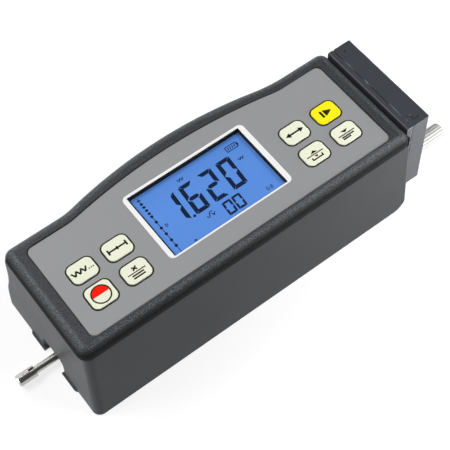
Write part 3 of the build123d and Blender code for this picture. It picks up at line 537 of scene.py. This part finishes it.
def figure(lit, height, width, stroke, slant):
    """A seven-segment figure about the origin, leaning to the right."""
    rise = (height - stroke) / 2
    side = (width - stroke) / 2
    level = rise / 2 + 0.02 * height

    # Each length leaves a small gap to the next segment
    across = outer_segment(width - 0.35 * stroke, stroke)
    along = outer_segment(rise + 0.62 * stroke, stroke)
    middle = middle_segment(width - 1.1 * stroke, stroke)

    places = {
        "a": (across, 0, rise, 0),
        "b": (along, side, level, -90),
        "c": (along, side, -level, -90),
        "d": (across, 0, -rise, 180),
        "e": (along, -side, -level, 90),
        "f": (along, -side, level, 90),
        "g": (middle, 0, 0, 0),
    }
    made = []
    for name in lit:
        model, x, y, turn = places[name]
        made.append(set_down(copy_of(model), x, y, 0, turn))
    discard(across, along, middle)
    whole = join(made, "figure")
    lean = Matrix.Identity(4)
    lean[0][1] = math.tan(slant)
    whole.data.transform(lean)
    return whole


def figures(text, places, size, z):
    """A row of seven-segment figures."""
    return [put(figure(SEGMENTS[name], *size), place, z) for name, place in zip(text, places)]


def wave(count, length, width, spacing, centre, z=0.0):
    """A zigzag of strokes. The spacing and the centre are in millimetres."""
    x, y = centre
    places = [(x + (step - (count - 1) / 2) * spacing, y) for step in range(count)]
    return copies(plate(length, width), places, z, (-WAVE_SLOPE, WAVE_SLOPE))


def flat_text(words, size):
    """Words as a mesh, as thick as the print and centred on their plane."""
    deselect()
    bpy.ops.object.text_add()
    made = bpy.context.object
    made.data.body = words
    made.data.size = size
    made.data.extrude = INK / 2
    bpy.ops.object.convert(target="MESH")
    return bpy.context.object


# Settings
def colour_property(name, description, default):
    return FloatVectorProperty(
        name=name,
        description=description,
        subtype="COLOR",
        size=3,
        min=0,
        max=1,
        default=default,
    )


def length_property(name, description, default):
    return FloatProperty(
        name=name,
        description=description,
        subtype="DISTANCE",
        unit="LENGTH",
        default=default,
        precision=5,
    )


def power_property(name, description, default):
    return FloatProperty(name=name, description=description, unit="POWER", default=default)


class CasingSettings(bpy.types.PropertyGroup):
    rim: colour_property("Rim", "Colour of the top cover's rim", (0.036, 0.0395, 0.043))
    housing: colour_property("Housing", "Colour of the side shell", (0.037, 0.039, 0.043))
    base: colour_property("Base", "Colour of the bottom cover", (0.035, 0.036, 0.04))
    end: colour_property(
        "End block", "Colour of the end plate and the foot block", (0.047, 0.051, 0.061)
    )
    grain: length_property("Grain", "Size of the rim's grain", 0.00034)


class PanelSettings(bpy.types.PropertyGroup):
    film: colour_property("Panel", "Colour of the control panel", (0.29, 0.292, 0.3))
    border: colour_property("Border", "Colour of the display's border", (0.87, 0.87, 0.87))
    recess: colour_property(
        "Recess", "Colour of the walls round the display", (0.012, 0.014, 0.013)
    )


class DisplaySettings(bpy.types.PropertyGroup):
    glow: colour_property("Glow", "Colour of the lit display", (0.105, 0.275, 0.7))
    figures: colour_property("Figures", "Colour of the dark figures", (0.008, 0.018, 0.05))
    height: length_property("Height", "Height of a large figure", 0.013)
    width: length_property("Width", "Width of a large figure", 0.0059)
    stroke: length_property("Stroke", "Width of a large figure's strokes", 0.0016)
    slant: FloatProperty(
        name="Slant",
        description="How far the figures lean",
        subtype="ANGLE",
        default=math.radians(4),
    )


class KeySettings(bpy.types.PropertyGroup):
    cap: colour_property("Cap", "Colour of the pale keys", (0.82, 0.84, 0.67))
    start: colour_property("Start", "Colour of the start key", (0.93, 0.84, 0.005))
    signs: colour_property("Signs", "Colour of the signs on the keys", (0.02, 0.02, 0.012))
    power: colour_property("Power", "Colour of half of the power key's disc", (1.0, 0.012, 0.002))
    # The dark outline round each key is partly print and partly painted shade of the gap round the
    # cap
    outline: colour_property("Outline", "Colour of the outline round each key", (0.03, 0.028, 0.02))
    line: length_property("Line", "Width of the lines of the signs", 0.00055)
    border: length_property("Border", "Width of the outline round each key", 0.00062)


class MetalSettings(bpy.types.PropertyGroup):
    steel: colour_property("Steel", "Colour of the pickup's steel", (0.49, 0.485, 0.47))
    knob: colour_property("Knob", "Colour of the clamp knob", (0.6, 0.6, 0.585))
    brass: colour_property("Brass", "Colour of the nut and the bushes", (0.72, 0.53, 0.24))


class StageSettings(bpy.types.PropertyGroup):
    floor: colour_property("Floor", "Colour of the floor", (0.33, 0.33, 0.33))
    glow: FloatProperty(
        name="Glow", description="Light that the floor and the backdrop give off", default=0.72
    )
    sky: FloatProperty(name="Sky", description="Strength of the even light", default=0.08, min=0)
    key: power_property("Key", "Power of the near softbox", 6.3)
    far: power_property("Far", "Power of the far softbox", 8.2)
    left: power_property("Left", "Power of the low strip on the left", 0.85)
    right: power_property("Right", "Power of the low strip on the right", 0.34)
    back: power_property("Back", "Power of the broad card behind", 0.65)


# Pieces
class METER_OT_casing(bpy.types.Operator):
    """Finish the rim, the housing, the base and the end block"""

    bl_idname = "meter.casing"
    bl_label = "Casing"

    def execute(self, context):
        settings = context.scene.meter_casing
        dress(rim_plastic(settings.rim, settings.grain), "top_cover")
        housing = grained_plastic(
            "housing plastic",
            settings.housing,
            roughness=0.42,
            grain=0.0003,
            depth=0.000008,
            fleck=0.12,
            edge_wear_and_highlight=0.8,
            gloss=0.17,
        )
        dress(housing, "housing")
        base = grained_plastic(
            "base plastic", settings.base, roughness=0.5, grain=0.0004, depth=0.00002, fleck=0.2
        )
        dress(base, "bottom_cover")
        # The end block's sharp edges are much lighter in patches: scuffs along the seam and a
        # painted edge highlight
        end = grained_plastic(
            "end plastic",
            settings.end,
            roughness=0.34,
            grain=0.0005,
            depth=0.000006,
            fleck=0.1,
            patch=0.15,
            edge_wear_and_highlight=9.0,
            gloss=0.35,
        )
        dress(end, "guide_plate", "foot_block")
        return {"FINISHED"}


class METER_OT_panel(bpy.types.Operator):
    """Finish the control panel, the white border and the clear window"""

    bl_idname = "meter.panel"
    bl_label = "Panel"

    def execute(self, context):
        settings = context.scene.meter_panel
        film = grained_plastic(
            "panel film",
            settings.film,
            roughness=0.5,
            grain=0.0002,
            depth=0.000005,
            fleck=0.06,
            patch=0.03,
            edge_wear_and_highlight=0.3,
        )
        dress(film, "control_panel")
        dress(self.border(settings), "display_frame")
        dress(self.window(), "display_window")
        return {"FINISHED"}

    def border(self, settings):
        """White print on top, dark on the walls round the display."""
        border = Finish("border print", Roughness=0.4)
        speck = border.noise(0.0006)
        white = border.tint(settings.border, 1 + speck.swing(0.03))
        border.use(Base_Color=border.mix(border.facing() > 0.5, settings.recess, white))
        return border

    def window(self):
        """Clear, with a faint smeared sheen."""
        window = Finish("clear window")
        clear = window.node("BsdfTransparent", {}, {"Color": (0.97, 0.98, 1.0)})
        sheen = window.node("BsdfGlossy", {}, {"Color": (1, 1, 1), "Roughness": 0.04})
        smears = window.noise(0.004, 4.0)
        mixed = window.node("MixShader", {}, {0: 0.012 + smears * 0.012, 1: clear, 2: sheen})
        window.feed(window.tree.nodes["Material Output"].inputs["Surface"], mixed)
        window.tree.nodes.remove(window.shader)
        return window


class METER_OT_display(bpy.types.Operator):
    """Light the display and put the figures, the level scale and the signs on it"""

    bl_idname = "meter.display"
    bl_label = "Display"

    def execute(self, context):
        settings = context.scene.meter_display
        glow = Finish("lit display", Roughness=0.35, Emission_Strength=0.12)
        lit = glow.tint(settings.glow, 1 + glow.noise(0.02).swing(0.05))
        glow.use(Base_Color=lit, Emission_Color=lit)
        dress(glow, "display_module")
        dress(soft_rubber("light guide", (0.8, 0.85, 0.9), roughness=0.3), "backlight")

        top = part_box("display_module")[1].z - INK / 2
        dark = ink("display figures", settings.figures, roughness=0.45)
        large = (settings.height, settings.width, settings.stroke, settings.slant)
        small = (*COUNT_SIZE, settings.slant)
        point = put(disc(POINT_RADIUS), POINT_PLACE, top)
        pieces = {
            "reading": figures(READING, READING_PLACES, large, top) + [point],
            "reading_count": figures(COUNT, COUNT_PLACES, small, top),
            "level_scale": self.level_scale(top),
            "display_edge": self.edge(top),
            "battery_sign": self.battery(top),
            "display_signs": self.signs(top),
        }
        for name, shapes in pieces.items():
            settle(shapes, name, "case", dark)
        return {"FINISHED"}

    def level_scale(self, z):
        """A line with dots, a plus above it and a nought beside it."""
        marks = copies(disc(DOT_RADIUS, 16), [(SCALE_X, y) for y in DOTS_Y], z)
        start, stop = LINE_Y
        line = plate(LINE_WIDTH, (start - stop) * MM)
        marks.append(put(line, (SCALE_X, (start + stop) / 2), z))
        marks += copies(plate(*PLUS_BAR), [(SCALE_X, PLUS_Y)] * 2, z, (0, 90))
        nought = plate_ring(*NOUGHT_SIZE, NOUGHT_CORNER, LINE_WIDTH)
        marks.append(put(nought, NOUGHT_PLACE, z))
        return marks

    def edge(self, z):
        """The dark edge of the lit field, and the mark at its near side."""
        return [
            put(plate(*EDGE_SIZE), EDGE_PLACE, z),
            put(triangle(*MARK_SIZE), MARK_PLACE, z),
        ]

    def battery(self, z):
        """A battery with four slanted bars."""
        x, y = BATTERY_PLACE
        outline = plate_ring(*BATTERY_SIZE, BATTERY_CORNER, BATTERY_LINE)
        bars = [(x + step, y) for step in BARS_X]
        return [
            put(outline, (x, y), z),
            put(plate(*POLE_SIZE), (x + POLE_X, y), z),
            *copies(plate(*BAR_SIZE), bars, z, (BAR_SLANT,)),
        ]

    def signs(self, z):
        """Two small waves, the surface texture sign and a number."""
        marks = []
        for centre, spacing in SMALL_WAVES:
            marks += wave(4, *SMALL_STROKE, spacing, centre, z)
        for centre, length, turn in TEXTURE_STROKES:
            marks.append(put(plate(length * MM, TEXTURE_WIDTH), centre, z, turn))
        marks.append(put(flat_text(NUMBER, NUMBER_SIZE), NUMBER_PLACE, z + INK / 2))
        return marks


class METER_OT_keys(bpy.types.Operator):
    """Finish the keys and print their signs"""

    bl_idname = "meter.keys"
    bl_label = "Keys"

    def execute(self, context):
        settings = context.scene.meter_keys
        cap = soft_rubber("pale key rubber", settings.cap)
        start = soft_rubber("start key rubber", settings.start)
        signs = ink("key signs", settings.signs)
        outlines_and_gap_shade = []
        for name in KEYS:
            dress(start if name == "start" else cap, name + "_key")
            shapes = getattr(self, name + "_sign")(settings.line)
            place = self.top(name)
            for shape in shapes:
                set_down(shape, *place)
            settle(shapes, name + "_sign", name, signs)
            outlines_and_gap_shade.append(self.border(name, settings.border))
        settle(outlines_and_gap_shade, "key_outlines_and_gap_shade", "case", ink("key outline and gap shade ink", settings.outline))

        x, y, z = self.top("power")
        red = ink("power red", settings.power)
        cream = ink("power cream", settings.cap)
        for name, turn, finish in (("power_disc_red", 0, red), ("power_disc_pale", 180, cream)):
            half = set_down(half_disc(POWER_DISC), x, y - POWER_DROP, z, turn)
            settle([half], name, "power", finish)
        return {"FINISHED"}

    def top(self, name):
        """The middle of the top of a key's cap, where its print begins."""
        low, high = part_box(name + "_key")
        return (low.x + high.x) / 2, (low.y + high.y) / 2, high.z - INK / 2

    def border(self, name, width):
        """The dark outline on the panel round a key: partly printed, partly painted shade over the
        gap round the cap.
        """
        low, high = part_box(name + "_key")
        reach = width - KEY_FLANGE
        length = high.x - low.x + 2 * reach
        breadth = high.y - low.y + 2 * reach
        ring = plate_ring(length, breadth, KEY_CORNER + width, width - KEY_GAP)
        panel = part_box("control_panel")[1].z
        return set_down(ring, (low.x + high.x) / 2, (low.y + high.y) / 2, panel - INK / 2)

    def rule(self, line):
        """The line across a key that parts its two signs."""
        return put(plate(7.0 * MM, THIN * line), (0, -0.25))

    def power_sign(self, line):
        return [set_down(disc_ring(POWER_RING, 0.95 * line), 0, -POWER_DROP, 0)]

    def menu_sign(self, line):
        """A cross above two lines."""
        return [
            self.rule(line),
            *copies(plate(2.2 * MM, BOLD * line), [(0, 1.2)] * 2, turns=(40, -40)),
            *copies(plate(4.6 * MM, BOLD * line), [(0, -1.2), (0, -2.2)]),
        ]

    def parameter_sign(self, line):
        """A wave and three dots."""
        strokes = wave(6, 2.1 * MM, 1.15 * line, 0.95, (-1.1, 0))
        return strokes + copies(disc(0.27 * MM, 12), [(2.3, -0.75), (3.1, -0.75), (3.9, -0.75)])

    def cutoff_sign(self, line):
        """A measured length."""
        return [
            plate(6.6 * MM, HEAVY * line),
            *copies(plate(HEAVY * line, 2.2 * MM), [(-3.5, 0), (3.5, 0)]),
            plate(BOLD * line, 1.4 * MM),
        ]

    def range_sign(self, line):
        """An arrow with two heads."""
        return [
            plate(4.6 * MM, 1.3 * line),
            *copies(triangle(2.2 * MM, 1.9 * MM), [(-2.9, 0), (2.9, 0)], turns=(90, -90)),
        ]

    def start_sign(self, line):
        """A bar and a head that points away from it."""
        return [
            put(triangle(3.0 * MM, 3.2 * MM), (0.9, 0), turn=-90),
            put(plate(1.6 * line, 3.0 * MM), (-1.7, 0)),
        ]

    def up_sign(self, line):
        """An upward head above a tray that takes a small downward one."""
        return [
            self.rule(line),
            put(triangle(3.0 * MM, 1.15 * MM), (0, 0.85)),
            put(plate(4.6 * MM, line), (0, -2.2)),
            *copies(plate(line, 1.1 * MM), [(-2.1, -1.75), (2.1, -1.75)]),
            put(triangle(1.7 * MM, 0.9 * MM), (0, -1.25), turn=180),
        ]

    def down_sign(self, line):
        """A downward head above two lines of a list."""
        return [
            self.rule(line),
            put(triangle(3.1 * MM, 1.15 * MM), (0, 0.85), turn=180),
            put(plate(5.2 * MM, BOLD * line), (0, -1.15)),
            put(plate(3.4 * MM, BOLD * line), (-0.9, -1.95)),
        ]


class METER_OT_pickup(bpy.types.Operator):
    """Finish the pickup, its stylus and the pickup socket"""

    bl_idname = "meter.pickup"
    bl_label = "Pickup"

    def execute(self, context):
        steel = worked_metal(
            "polished steel",
            context.scene.meter_metal.steel,
            roughness=0.3,
            stretch=(0.05, 1, 1),
            grain=0.0004,
            depth=0.0000005,
        )
        dress(steel, "nose_sleeve", "pickup_tube", "pickup_body", "pickup_socket")
        dress(steel, "stylus_arm", "stylus_pivot")
        winding = worked_metal(
            "enamelled winding",
            (0.55, 0.22, 0.1),
            roughness=0.35,
            stretch=(1, 0.1, 0.1),
            grain=0.0002,
        )
        dress(winding, "sensing_coil")
        point = Finish("ground point", Roughness=0.1, IOR=2.4, Transmission_Weight=0.6)
        haze = point.noise(0.0001)
        point.use(Base_Color=point.tint((0.9, 0.92, 0.95), 1 + haze.swing(0.1)))
        dress(point, "stylus_tip")
        return {"FINISHED"}


class METER_OT_drive(bpy.types.Operator):
    """Finish the traverse drive, the board, the battery and the fixings inside"""

    bl_idname = "meter.drive"
    bl_label = "Inside"

    def execute(self, context):
        settings = context.scene.meter_metal
        steel = worked_metal("turned steel", settings.steel, roughness=0.24, stretch=(0.1, 1, 1))
        dress(steel, "guide_rods", "lead_screw", "output_shaft", "pivot_pin", "clamp_washer")
        screws = worked_metal("screw steel", settings.steel, roughness=0.32, stretch=(1, 1, 1))
        dress(screws, "cover_screws", "base_screws", "board_screws", "guide_screws", "key_domes")
        milled = worked_metal(
            "milled aluminium", (0.72, 0.73, 0.75), roughness=0.34, stretch=(1, 0.12, 1)
        )
        dress(milled, "drive_frame", "carriage", "shaft_coupling")
        brass = worked_metal("turned brass", settings.brass, roughness=0.28, stretch=(0.1, 1, 1))
        dress(brass, "drive_nut", "screw_bushes", "clamp_insert")
        can = worked_metal("plated can", (0.58, 0.58, 0.59), roughness=0.3, stretch=(0.15, 1, 1))
        dress(can, "motor_gearbox", "drive_motor", "data_socket")
        plain = grained_plastic(
            "inner plastic", (0.05, 0.05, 0.055), roughness=0.5, grain=0.0005, depth=0.00001
        )
        dress(plain, "display_holder")
        foam = grained_plastic(
            "foam", (0.03, 0.03, 0.03), roughness=0.85, grain=0.0004, depth=0.0001, fleck=0.6
        )
        dress(foam, "battery_pad")
        sleeve = grained_plastic(
            "battery sleeve", (0.05, 0.11, 0.32), roughness=0.32, grain=0.002, depth=0.00003
        )
        dress(sleeve, "battery_pack")
        dress(self.board(), "main_board")
        return {"FINISHED"}

    def board(self):
        """Green lacquer over patches of copper."""
        board = Finish("solder mask", IOR=1.5, Roughness=0.3)
        weave = board.noise(0.0008, 3.0)
        tracks = board.noise(0.0032, 4.0)
        lacquer = board.tint((0.012, 0.11, 0.045), 1 + weave.swing(0.3))
        copper = board.steps(tracks, ((0.52, 0.0), (0.56, 1.0)))
        board.use(Base_Color=board.mix(copper, lacquer, (0.03, 0.17, 0.07)))
        board.bump(copper, 0.03 * MM)
        return board


class METER_OT_clamp(bpy.types.Operator):
    """Finish the ribbed clamp knob"""

    bl_idname = "meter.clamp"
    bl_label = "Clamp knob"

    def execute(self, context):
        settings = context.scene.meter_metal
        plated = Finish("plated knob", Metallic=0.2, Specular_IOR_Level=0.2)
        low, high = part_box("clamp_knob")
        spot = plated.place()
        across = plated.part(spot, "Y") - (low.y + high.y) / 2
        upward = plated.part(spot, "Z") - (low.z + high.z) / 2
        below_ribs = across * across + upward * upward < RIB_FLOOR**2
        # Painted shade: the grooves between the ribs are made darker
        groove_shade = below_ribs * (plated.facing("X") < 0.3)
        grain = plated.noise(0.0004)
        plated.use(Base_Color=plated.tint(settings.knob, 1 - groove_shade * 0.45 + grain.swing(0.06)))
        plated.use(Roughness=0.6 + grain.swing(0.1))
        dress(plated, "clamp_knob")
        return {"FINISHED"}


# Stage
def softbox(name, place, size, power, target=MIDDLE, spread=180):
    """An area light that faces a target and isn't seen itself. Its spread is in degrees."""
    bpy.ops.object.light_add(type="AREA", location=place)
    lamp = bpy.context.object
    lamp.name = name
    lamp.data.shape = "RECTANGLE"
    lamp.data.size, lamp.data.size_y = size
    lamp.data.energy = power
    lamp.data.spread = math.radians(spread)
    lamp.visible_camera = False
    aim = Vector(target) - Vector(place)
    lamp.rotation_euler = aim.to_track_quat("-Z", "Y").to_euler()


class METER_OT_stage(bpy.types.Operator):
    """Add the floor, the backdrop, the soft lights and the camera"""

    bl_idname = "meter.stage"
    bl_label = "Stage"

    def execute(self, context):
        settings = context.scene.meter_stage
        self.floor(settings)
        self.backdrop(context.scene, settings)
        softbox("key softbox", (0.54, -0.48, 0.96), (0.45, 0.45), settings.key)
        softbox("far softbox", (-0.42, 0.45, 0.95), (0.8, 0.55), settings.far)
        softbox("left strip", (-0.45, 0.05, 0.05), (0.3, 0.07), settings.left)
        softbox(
            "right strip",
            (0.155, -0.12, 0.055),
            (0.1, 0.04),
            settings.right,
            target=(0.07, -0.02, 0.04),
        )
        softbox(
            "back card",
            (0.1, 0.85, 0.33),
            (1.3, 0.36),
            settings.back,
            target=(0.1, 0, 0.1),
            spread=80,
        )
        self.camera(context.scene)
        return {"FINISHED"}

    def floor(self, settings):
        """Pale paper that gives off a little light, so that it stays pale far away."""
        deselect()
        bpy.ops.mesh.primitive_plane_add(size=FLOOR_SIZE, location=(0, 0, FLOOR_LEVEL))
        floor = bpy.context.object
        floor.name = "floor"
        paper = Finish(
            "floor paper",
            Roughness=0.9,
            Emission_Color=(1, 1, 1),
            Emission_Strength=settings.glow,
        )
        fibre = paper.noise(0.003, 3.0)
        paper.use(Base_Color=paper.tint(settings.floor, 1 + fibre.swing(0.01)))
        floor.data.materials.append(paper.material)
        floor.visible_diffuse = False

    def backdrop(self, scene, settings):
        """Even light all round, as bright as the floor where the camera sees it directly."""
        world = bpy.data.worlds.new("studio")
        scene.world = world
        world.use_nodes = True
        studio = Shading(world.node_tree)
        background = world.node_tree.nodes["Background"]
        seen = studio.node("LightPath", {}, {}, "Is Camera Ray")
        levels = {"Value": seen, "To Min": settings.sky, "To Max": settings.glow}
        studio.feed(background.inputs["Color"], (1, 1, 1))
        studio.feed(background.inputs["Strength"], studio.node("MapRange", {}, levels))

    def camera(self, scene):
        bpy.ops.object.camera_add(location=CAMERA_PLACE)
        camera = bpy.context.object
        camera.name = "camera"
        camera.rotation_euler = [math.radians(turn) for turn in CAMERA_TURN]
        camera.data.sensor_width = CAMERA_SENSOR
        camera.data.lens = CAMERA_LENS
        camera.data.clip_start = CAMERA_NEAR
        scene.camera = camera
        scene.view_settings.view_transform = "Standard"


# Sidebar and registration
class METER_PT_sidebar(bpy.types.Panel):
    """Roughness meter"""

    bl_idname = "METER_PT_sidebar"
    bl_label = "Roughness meter"
    bl_space_type = "VIEW_3D"
    bl_region_type = "UI"
    bl_category = "Roughness meter"

    def draw(self, context):
        for operator in OPERATORS:
            self.layout.operator(operator.bl_idname)
        for name, kind in SETTINGS.items():
            box = self.layout.box()
            for setting in kind.__annotations__:
                box.prop(getattr(context.scene, name), setting)


OPERATORS = (
    METER_OT_casing,
    METER_OT_panel,
    METER_OT_display,
    METER_OT_keys,
    METER_OT_pickup,
    METER_OT_drive,
    METER_OT_clamp,
    METER_OT_stage,
)
SETTINGS = {
    "meter_casing": CasingSettings,
    "meter_panel": PanelSettings,
    "meter_display": DisplaySettings,
    "meter_keys": KeySettings,
    "meter_metal": MetalSettings,
    "meter_stage": StageSettings,
}


def register():
    for name, kind in SETTINGS.items():
        bpy.utils.register_class(kind)
        setattr(bpy.types.Scene, name, PointerProperty(type=kind))
    for operator in OPERATORS:
        bpy.utils.register_class(operator)
    bpy.utils.register_class(METER_PT_sidebar)


def unregister():
    bpy.utils.unregister_class(METER_PT_sidebar)
    for operator in reversed(OPERATORS):
        bpy.utils.unregister_class(operator)
    for name, kind in SETTINGS.items():
        delattr(bpy.types.Scene, name)
        bpy.utils.unregister_class(kind)


def main():
    register()
    bpy.ops.meter.casing()
    bpy.ops.meter.panel()
    bpy.ops.meter.display()
    bpy.ops.meter.keys()
    bpy.ops.meter.pickup()
    bpy.ops.meter.drive()
    bpy.ops.meter.clamp()
    bpy.ops.meter.stage()


if __name__ == "__main__":
    main()
